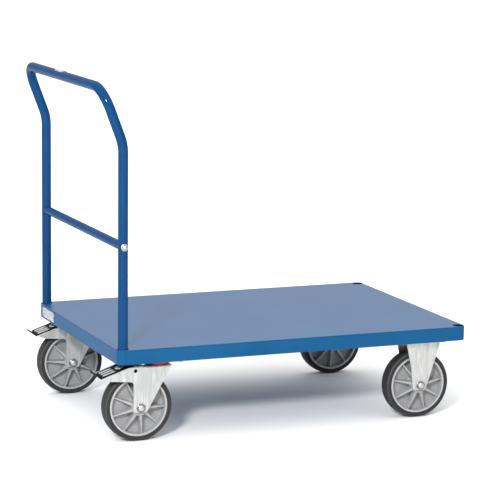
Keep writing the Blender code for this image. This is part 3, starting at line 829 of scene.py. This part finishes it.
def tyre_mesh():
    """The solid tyre: a lip on the rim, a hollow side wall, a shoulder band in lighter rubber as a painted
    highlight, and a crowned tread.
    """
    outer, seat = size("rear_left_tyre").z / 2, 0.0793
    half = [(seat, 0.0190), (seat + 0.0006, 0.0199), (seat + 0.0022, 0.0204), (seat + 0.0040, 0.0203),
            (seat + 0.0062, 0.0200), (seat + 0.0078, 0.0201), (outer - 0.0046, 0.0204),
            (outer - 0.0041, 0.0202), (outer - 0.0014, 0.0176), (outer - 0.0010, 0.0170),
            (outer - 0.0009, 0.0150), (outer - 0.0004, 0.0110), (outer - 0.0001, 0.0060)]

    def on_shoulder(place):
        return 0.0168 < abs(place.y) < 0.0200 and hypot(place.x, place.z) > outer - 0.0045

    mesh = lathe_across(mirrored(half, [(outer, 0.0)]), 128)
    return two_toned(mesh, tyre_rubber, shoulder_highlight_rubber, on_shoulder)


def hub_seal_mesh():
    """The grease seal round the axle on both sides of the hub, with a pressed lip."""
    side = [(0.0088, 0.0312), (0.0096, 0.0318), (0.0112, 0.0318), (0.0118, 0.0312), (0.0126, 0.0310)]
    return lathe_across(mirrored(side), 48)


def axle_bolt_mesh(low_y, seat, far_y):
    """A flanged bolt with a shallow domed head, and its threaded shank. Its flange is left dark."""
    top, under, end = -low_y, -seat, -far_y
    head = [(0, top), (0.0040, top - 0.0003), (0.0066, top - 0.0012), (0.0080, top - 0.0026),
            (0.0084, top - 0.0042), (0.0085, under + 0.0024), (0.0106, under + 0.0021),
            (0.0112, under + 0.0015), (0.0112, under - 0.0002), (0.0058, under - 0.0002)]
    thread = []
    crest, root, pitch, run = 0.0059, 0.0054, 0.00175, 0.0135
    for i in range(int(run / pitch)):
        start = end + run - i * pitch
        thread += [(crest, start), (crest, start - pitch * 0.25), (root, start - pitch * 0.55),
                   (root, start - pitch * 0.70)]
    mesh = lathe_across(head + thread + [(0.0050, end + 0.0006), (0.0044, end), (0, end)], 48)
    return two_toned(mesh, steel_bright, oiled, lambda place: hypot(place.x, place.z) > 0.0086)


def lock_nut_mesh(seat, far_y):
    """A flanged hexagon lock nut with its collar."""
    under, end, bore = -seat, -far_y, 0.0062
    nut = turned(hexagon(0.0103, end + 0.0020, under - 0.0014), 180, "Z")
    flange = lathe_across([(bore, under), (0.0118, under), (0.0118, under - 0.0010), (0.0112, under - 0.0016),
                           (bore, under - 0.0020)], 48)
    collar = lathe_across([(bore, end + 0.0030), (0.0085, end + 0.0030), (0.0082, end + 0.0008),
                           (0.0072, end + 0.0002), (bore, end + 0.0008)], 48)
    nut = cut(nut, rod(bore, (0, seat - 0.01, 0), (0, far_y + 0.01, 0), 32))
    return together(nut, flange, collar)


def wheel(name, phase):
    """One wheel with its axle's fasteners."""
    axle = middle(f"{name}_tyre")
    wheel_body = f"wheel_{name}"
    carrier = "frame" if name.startswith("front") else "swivel_" + name.split("_")[1]
    centre = wheel_centre_mesh(phase)
    centre.materials.append(wheel_grey)
    centre.materials.append(rim_highlight_grey)
    place_piece(f"{name}_wheel_body", centre, None, wheel_body, axle, [f"{name}_wheel_centre"])
    place_piece(f"{name}_tyre_tread", tyre_mesh(), None, wheel_body, axle, [f"{name}_tyre"])
    place_piece(f"{name}_hub_seal", hub_seal_mesh(), black, wheel_body, axle)
    low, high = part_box(f"{name}_axle_bolt")
    bolt = axle_bolt_mesh(low.y - axle.y, -FORK_FACE + DISH_DEPTH, high.y - axle.y)
    place_piece(f"{name}_flanged_bolt", bolt, None, carrier, axle, [f"{name}_axle_bolt"])
    nut = lock_nut_mesh(FORK_FACE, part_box(f"{name}_axle_nut")[1].y - axle.y)
    place_piece(f"{name}_lock_nut", nut, steel_bright, carrier, axle, [f"{name}_axle_nut"],
                0.0003)
    dress(f"{name}_axle_tube", steel)
    dress(f"{name}_wheel_bearing", steel)


for wheel_name, turn in (("rear_right", -3), ("front_right", 8), ("rear_left", 16), ("front_left", 27)):
    wheel(wheel_name, radians(turn))


# --- casters; the meshes below have the caster's upright axis at X = Y = 0, and the floor at Z = 0 ---

PLATE_LOW, PLATE_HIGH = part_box("rear_left_top_plate")
PLATE_TOP = PLATE_HIGH.z
PLATE_THICKNESS = 0.004
PLATE_SEAT = PLATE_TOP - PLATE_THICKNESS
FORK_HALF_WIDTH = size("rear_left_fork").y / 2
FORK_INNER = FORK_HALF_WIDTH - FORK_WALL
CROWN_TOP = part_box("rear_left_fork")[1].z
AXLE_HEIGHT = middle("rear_left_tyre").z
TRAIL = middle("rear_left_tyre").x - middle("rear_left_top_plate").x
CROWN_SINK = 0.0032
FIXED_AXLE = middle("front_left_tyre").x - middle("front_left_fork").x
ALONG_X = Matrix(((0, 0, 1, 0), (1, 0, 0, 0), (0, 1, 0, 0), (0, 0, 0, 1)))
BOLT_PLACES = [(x, y) for x in (-0.0525, 0.0525) for y in (-0.0400, 0.0400)]


def mounting_plate_mesh():
    """The rectangular plate, its corners rounded and its bolt slots cut."""
    centre = middle("rear_left_top_plate")
    low, high = PLATE_LOW - centre, PLATE_HIGH - centre
    sheet = plate(rounded(rectangle(low.x, low.y, high.x, high.y), 0.010, 6), PLATE_THICKNESS)
    slots = [plate(rounded(rectangle(x - 0.0085, y - 0.0050, x + 0.0085, y + 0.0050), 0.0049, 5), 0.02)
             for x, y in BOLT_PLACES]
    return cut(moved(sheet, (0, 0, PLATE_TOP - PLATE_THICKNESS / 2)),
               *[moved(slot, (0, 0, PLATE_TOP)) for slot in slots])


def folded_sheet(top, fold, low_x, high_x):
    """An upside-down U of sheet that runs along X, with rounded folds at its top corners."""
    outer, inner, low, under = FORK_HALF_WIDTH, FORK_INNER, 0.06, top - FORK_WALL
    section = rounded([(-outer, low), (-outer, top, fold), (outer, top, fold), (outer, low), (inner, low),
                       (inner, under, 0.0015), (-inner, under, 0.0015), (-inner, low)], 0.0002, 7)
    mesh = plate(section, high_x - low_x)
    mesh.transform(ALONG_X)
    return moved(mesh, ((low_x + high_x) / 2, 0, 0))


def bent_inwards(mesh, x, direction, slope):
    """Bends a fork's legs towards each other beyond an upright line, with a small radius at the bend."""
    bend = 0.003
    bm = sliced(mesh, [x + direction * step for step in (0.0, bend / 2, bend)])
    for vert in bm.verts:
        beyond = direction * (vert.co.x - x)
        if beyond > 0 and abs(vert.co.y) > 0.012:
            shift = slope * (beyond ** 2 / (2 * bend) if beyond < bend else beyond - bend / 2)
            vert.co.y -= copysign(shift, vert.co.y)
    return from_bmesh(bm, "bent")


def sunk_crown(mesh):
    """Presses the crown down round the swivel's bearing, so that the bearing's cover shows over it."""
    bm = sliced(mesh, (-0.056, -0.050, -0.044, -0.038, -0.032, 0.020, 0.024, 0.028, 0.032))
    for vert in bm.verts:
        if vert.co.z > 0.19:
            back = min(1.0, max(0.0, (vert.co.x + 0.056) / 0.024))
            front = min(1.0, max(0.0, (0.0345 - vert.co.x) / 0.0145))
            vert.co.z -= CROWN_SINK * back * back * (3 - 2 * back) * front * front * (3 - 2 * front)
    return from_bmesh(bm, "sunk")


def dishes(x):
    """Cutters for the shallow pressed dishes round a fork's axle holes."""
    radius, face, outside = 0.0135, DISH_DEPTH - FORK_HALF_WIDTH, -FORK_HALF_WIDTH - 0.004
    cutters = []
    for _, sign in SIDES:
        cone = lathe_across([(0, face), (radius - 0.0012, face), (radius, -FORK_HALF_WIDTH),
                             (radius, outside), (0, outside)], 40)
        if sign < 0:
            turned(cone, 180, "Z")
        cutters.append(moved(cone, (x, 0, AXLE_HEIGHT)))
    return cutters


def pivot_rod(radius, reach, segments):
    """A rod along the pedal's pivot, with its reach to each side."""
    x, z = PEDAL_PIVOT.x, PEDAL_PIVOT.z
    return rod(radius, (x, -reach, z), (x, reach, z), segments)


def swivel_fork_mesh():
    """A swivel fork folded from one sheet, with tails that guard the brake pedal."""
    side = rounded([(0.034, CROWN_TOP), (-0.069, CROWN_TOP, 0.03), (-0.0925, 0.2005, 0.03),
                    (-0.1545, 0.1795, 0.002), (-0.1556, 0.1757, 0.002), (-0.1425, 0.1690, 0.003),
                    (-0.0756, 0.1632, 0.009), (-0.0756, 0.0812, 0.009), (-0.0392, 0.0808, 0.009)], 0.004, 7)
    fork = combined(folded_sheet(CROWN_TOP, 0.0045, -0.17, 0.05), standing_plate(side, 0.1), "INTERSECT")
    opening = rounded([(-0.20, -FORK_INNER), (-0.058, -FORK_INNER, 0.009), (-0.058, FORK_INNER, 0.009),
                       (-0.20, FORK_INNER)], 0.001, 6)
    tail_gap = moved(plate(opening, 0.2), (0, 0, 0.15))
    fork = cut(fork, tail_gap, pivot_rod(0.0051, 0.06, 32), *dishes(TRAIL))
    lip = rounded([(-0.0985, 0.1981), (-0.1542, 0.1792), (-0.1548, 0.1762), (-0.1500, 0.1764),
                   (-0.0985, 0.1942)], 0.0005, 3)
    lips = [standing_plate(lip, 0.0022, sign * (FORK_HALF_WIDTH - 0.0001)) for _, sign in SIDES]
    return together(sunk_crown(bent_inwards(fork, -0.030, 1, 0.10)), *lips)


def fixed_fork_mesh():
    """A fixed fork: a folded sheet under its plate, its legs stiffened by two upright bends."""
    top = PLATE_SEAT
    side = rounded([(0.0528, top + 0.01, 0), (0.0528, top, 0), (0.0505, 0.2080), (0.0022, 0.0795, 0.008),
                    (-0.0335, 0.0805, 0.008), (-0.0388, 0.140, 0.02), (-0.0535, top, 0),
                    (-0.0535, top + 0.01, 0)], 0.004, 7)
    fork = combined(folded_sheet(top, 0.0050, -0.07, 0.07), standing_plate(side, 0.1), "INTERSECT")
    fork = cut(fork, *dishes(FIXED_AXLE))
    fork = bent_inwards(bent_inwards(fork, 0.0070, 1, 0.20), -0.0260, -1, 0.22)
    return together(fork, mounting_plate_mesh())


def top_plate_mesh():
    """The swivel caster's plate and the pressed cup that holds the upper ball race."""
    low, seat, bore = PLATE_LOW.z, PLATE_SEAT, 0.0062
    cup = lathe([(bore, seat + 0.0005), (0.0395, seat + 0.0005), (0.0385, seat - 0.0004),
                 (0.0368, seat - 0.0012), (0.0362, low + 0.0006), (0.0356, low), (bore, low)], 72)
    return together(mounting_plate_mesh(), cup)


def plate_bolts_mesh():
    """Four hexagon bolts with washers under the plate, and their nuts above the bearer's web."""
    seat, across_corners, web_top = PLATE_SEAT, 0.0075, PLATE_TOP + 0.0036

    def upright(mesh, turn, spin, height):
        return moved(turned(turned(mesh, turn, "X"), spin, "Z"), (0, 0, height))

    pieces = []
    for i, (x, y) in enumerate(BOLT_PLACES):
        washer = lathe([(0.0044, seat), (0.0098, seat), (0.0100, seat - 0.0003), (0.0100, seat - 0.0013),
                        (0.0097, seat - 0.0016), (0.0044, seat - 0.0016)], 32)
        head = upright(hexagon(across_corners, 0.0, 0.0050), 90, 17 + 41 * i, seat - 0.0066)
        nut = upright(hexagon(across_corners, -0.0060, 0.0), -90, 9 + 29 * i, web_top)
        shank = rod(0.0040, (0, 0, seat - 0.003), (0, 0, PLATE_TOP + 0.0118), 20)
        pieces += [moved(mesh, (x, y, 0)) for mesh in (washer, head, nut, shank)]
    return together(*pieces)


def dust_ring_mesh():
    """The red ring that covers the swivel's ball race, with a soft lip."""
    low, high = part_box("rear_left_dust_ring")
    low.z -= CROWN_SINK
    outer, bore = (high.x - low.x) / 2, 0.0225
    section = [(bore, low.z), (outer - 0.0012, low.z, 0.0004), (outer, low.z + 0.0016, 0.0010),
               (outer, high.z - 0.0016, 0.0010), (outer - 0.0010, high.z, 0.0005), (bore, high.z)]
    return lathe(rounded(section, 0.0003, 3))


def pedal_mesh():
    """The brake pedal's plate with turned-down sides, on its barrel, with its cam."""
    half, sheet = FORK_INNER - 0.0055, 0.0022
    side = rounded([(-0.0640, 0.1962), (-0.0662, 0.2005, 0.002), (-0.0925, 0.2005, 0.012), (-0.1575, 0.1790),
                    (-0.1566, 0.1752), (-0.0925, 0.1962, 0.012), (-0.0780, 0.1935)], 0.001, 6)
    plan = rounded([(-0.1600, -half, 0.010), (-0.0600, -half), (-0.0600, half), (-0.1600, half, 0.010)],
                   0.003, 6)
    tread = combined(standing_plate(side, 2 * half), moved(plate(plan, 0.1), (0, 0, 0.19)), "INTERSECT")
    flank = rounded([(-0.0700, 0.1955), (-0.0925, 0.1985, 0.01), (-0.1440, 0.1812, 0.002),
                     (-0.1380, 0.1772, 0.004), (-0.0960, 0.1905, 0.01), (-0.0760, 0.1880, 0.004)], 0.001, 5)
    flanks = [standing_plate(flank, sheet, sign * (half - sheet / 2)) for _, sign in SIDES]
    cam = standing_plate(rounded([(-0.1060, 0.1910), (-0.1040, 0.1822, 0.004), (-0.0920, 0.1873, 0.002),
                                  (-0.0900, 0.1970)], 0.0005, 5), 0.020)
    body = fused(tread, *flanks, pivot_rod(0.0062, half, 40), cam)
    return welded(cut(body, pivot_rod(0.0037, 0.05, 32)))


def pedal_ribs_mesh():
    """Three bright worn ribs along the outer half of the pedal's tread, each with rounded ends."""
    start, end = Vector((-0.1165, 0, 0.19225)), Vector((-0.1540, 0, 0.1798))
    along = (end - start).normalized()
    upward = Vector((along.z, 0, -along.x))
    half_width, tall, sink, stations, around = 0.0044, 0.0022, 0.0002, 12, 8
    ribs = []
    for y in (-0.0168, 0.0, 0.0168):
        bm = bmesh.new()
        rows = []
        for i in range(stations + 1):
            t = i / stations
            taper = min(1.0, sqrt(max(0.0, 1 - (2 * t - 1) ** 8)) + 0.12)
            row = []
            for step in range(around + 1):
                angle = pi * step / around
                lift = upward * (tall * sin(angle) * taper - sink)
                side = Vector((0, y + half_width * cos(angle) * taper, 0))
                row.append(bm.verts.new(start.lerp(end, t) + lift + side))
            rows.append(row)
        for near, far in zip(rows, rows[1:]):
            for a in range(around + 1):
                b = (a + 1) % (around + 1)
                bm.faces.new((near[a], near[b], far[b], far[a]))
        bm.faces.new(rows[0])
        bm.faces.new(rows[-1])
        ribs.append(from_bmesh(bm, "rib"))
    return together(*ribs)


def pedal_boss_mesh():
    """The grey rounded housing that sits on the pedal where it meets its cam."""
    centre, half = Vector((-0.1000, 0, 0.1972)), 0.0150
    mesh = lathe(dome(half, 0.0056, 9) + [(half, -0.003), (0, -0.003)], 48)
    return moved(turned(mesh, PEDAL_SLOPE, "Y"), centre)


def release_lever_mesh():
    """The thin rod along the pedal's front edge, which sticks out to the left as a release lever."""
    root, tip, radius = -0.0240, 0.0640, 0.0022
    cap = [(radius * cos(radians(15 * i)), tip + radius * sin(radians(15 * i)))
           for i in range(7)]
    return moved(turned(lathe([(0, root), (radius, root)] + cap, 24), -90, "X"), (-0.1588, 0, 0.1752))


def pedal_pin_mesh():
    """The pedal's pivot pin, sunk in the fork's legs."""
    end = [(0, -FORK_INNER), (0.0027, -FORK_INNER), (0.0033, 0.0006 - FORK_INNER)]
    return moved(lathe_across(mirrored(end), 32), PEDAL_PIVOT)


def swivel_caster(side):
    """A braked swivel caster under the handle end."""
    name, body = f"rear_{side}", f"swivel_{side}"
    axis = middle(f"{name}_top_plate")
    place = (axis.x, axis.y, 0)
    parts = (
        ("plate_and_cup", top_plate_mesh(), zinc_flat, "frame", "zinc_plate", "top_plate", 0.0007),
        ("plate_bolts", plate_bolts_mesh(), steel_bright, "frame", "zinc_plate", None, 0),
        ("folded_fork", swivel_fork_mesh(), zinc, body, "zinc_plate", "fork", 0.0007),
        ("race_cover", dust_ring_mesh(), red, body, "red_ring", "dust_ring", 0),
        ("sunk_pin", pedal_pin_mesh(), black, body, "bare_steel", "pedal_pin", 0),
        ("pedal_tread", pedal_mesh(), black, f"pedal_{side}", "black_pedal", "brake_pedal", 0),
        ("pedal_ribs", pedal_ribs_mesh(), steel_bright, f"pedal_{side}", "zinc_plate", None, 0),
        ("pedal_boss", pedal_boss_mesh(), boss_grey, f"pedal_{side}", "bare_steel", None, 0),
        ("release_lever", release_lever_mesh(), black, f"pedal_{side}", "bare_steel", None, 0),
    )
    for part, mesh, material, rides_on, slot, node, edge in parts:
        replaced = [f"{name}_{node}"] if node else []
        place_piece(f"{name}_{part}", mesh, material, rides_on, place, replaced, edge)
    dress(f"{name}_king_pin", steel)
    dress(f"{name}_swivel_bearing", oiled)
    dress(f"{name}_brake_shoe", oiled, 0.0006)


def fixed_caster(side):
    """A fixed caster under the front."""
    name = f"front_{side}"
    axis = middle(f"{name}_fork")
    place = (axis.x, axis.y, 0)
    place_piece(f"{name}_folded_fork", fixed_fork_mesh(), zinc, "frame", place,
                [f"{name}_fork"], 0.0007)
    place_piece(f"{name}_plate_bolts", plate_bolts_mesh(), steel_bright, "frame", place)


for caster_side, _ in SIDES:
    swivel_caster(caster_side)
    fixed_caster(caster_side)


# --- floor, light and camera ---

LIGHT_TARGET = Vector((0, 0, 0.45))


def studio_floor():
    """A wide pale floor that reaches past the picture's edges."""
    bm = bmesh.new()
    bmesh.ops.create_circle(bm, cap_ends=True, segments=64, radius=40)
    mesh = from_bmesh(bm, "studio_floor")
    paper = Finish("paper_floor", 0.9)
    wash = paper.noise(0.7, 2.0)
    paper.colour(paper.mixed(wash, (0.86, 0.86, 0.86), (0.88, 0.88, 0.88)))
    mesh.materials.append(paper.material)
    new_object("studio_floor", mesh)


def soft_light(name, place, width, power, gloss_only=False):
    """A soft box aimed at the truck; a gloss-only one shows in glossy surfaces and nowhere else."""
    data = bpy.data.lights.new(name, "AREA")
    data.shape = "RECTANGLE"
    data.size, data.size_y, data.energy = width, width, power
    lamp = new_object(name, data)
    lamp.location = place
    lamp.rotation_euler = (LIGHT_TARGET - Vector(place)).to_track_quat("-Z", "Y").to_euler()
    lamp.visible_diffuse = lamp.visible_camera = not gloss_only


def studio_sky(front, behind, zenith):
    """A grey dome, dim and uneven round the horizon and bright overhead. Its front is the camera's side."""
    world = bpy.data.worlds.new("studio")
    bpy.context.scene.world = world
    world.use_nodes = True
    tree = world.node_tree
    place = tree.nodes.new("ShaderNodeTexCoord")
    parts = tree.nodes.new("ShaderNodeSeparateXYZ")
    tree.links.new(place.outputs["Generated"], parts.inputs["Vector"])
    low_sky = mapped(tree, parts.outputs["Y"], -0.6, 0.5, front, behind, "SMOOTHSTEP")
    sky = mapped(tree, parts.outputs["Z"], 0.15, 0.75, low_sky, zenith, "SMOOTHSTEP")
    background = tree.nodes["Background"]
    background.inputs["Color"].default_value = (1, 1, 1, 1)
    tree.links.new(sky, background.inputs["Strength"])


def photo_camera():
    """The camera at the photograph's viewing angle, for a square picture."""
    place = Vector((-2.384361, -5.975642, 1.527960))
    yaw, pitch, roll = radians(21.98847), radians(9.63226), radians(0.64082)
    forward = Vector((sin(yaw) * cos(pitch), cos(yaw) * cos(pitch), -sin(pitch)))
    level = Vector((cos(yaw), -sin(yaw), 0))
    upward = level.cross(forward)
    right = level * cos(roll) + upward * sin(roll)
    upward = upward * cos(roll) - level * sin(roll)
    data = bpy.data.cameras.new("photo_camera")
    data.lens, data.sensor_width = 169.748, 36
    data.clip_end = 200
    camera = new_object("photo_camera", data)
    turn = Matrix((right, upward, -forward)).transposed()
    camera.matrix_world = Matrix.Translation(place) @ turn.to_4x4()
    bpy.context.scene.camera = camera


studio_floor()
studio_sky(0.42, 0.66, 1.68)
soft_light("key", (-3.4, -5.0, 3.2), 0.8, 400)
soft_light("glint", (-3.3, -5.1, 3.1), 0.5, 600, gloss_only=True)
photo_camera()
bpy.context.scene.view_settings.view_transform = "Standard"
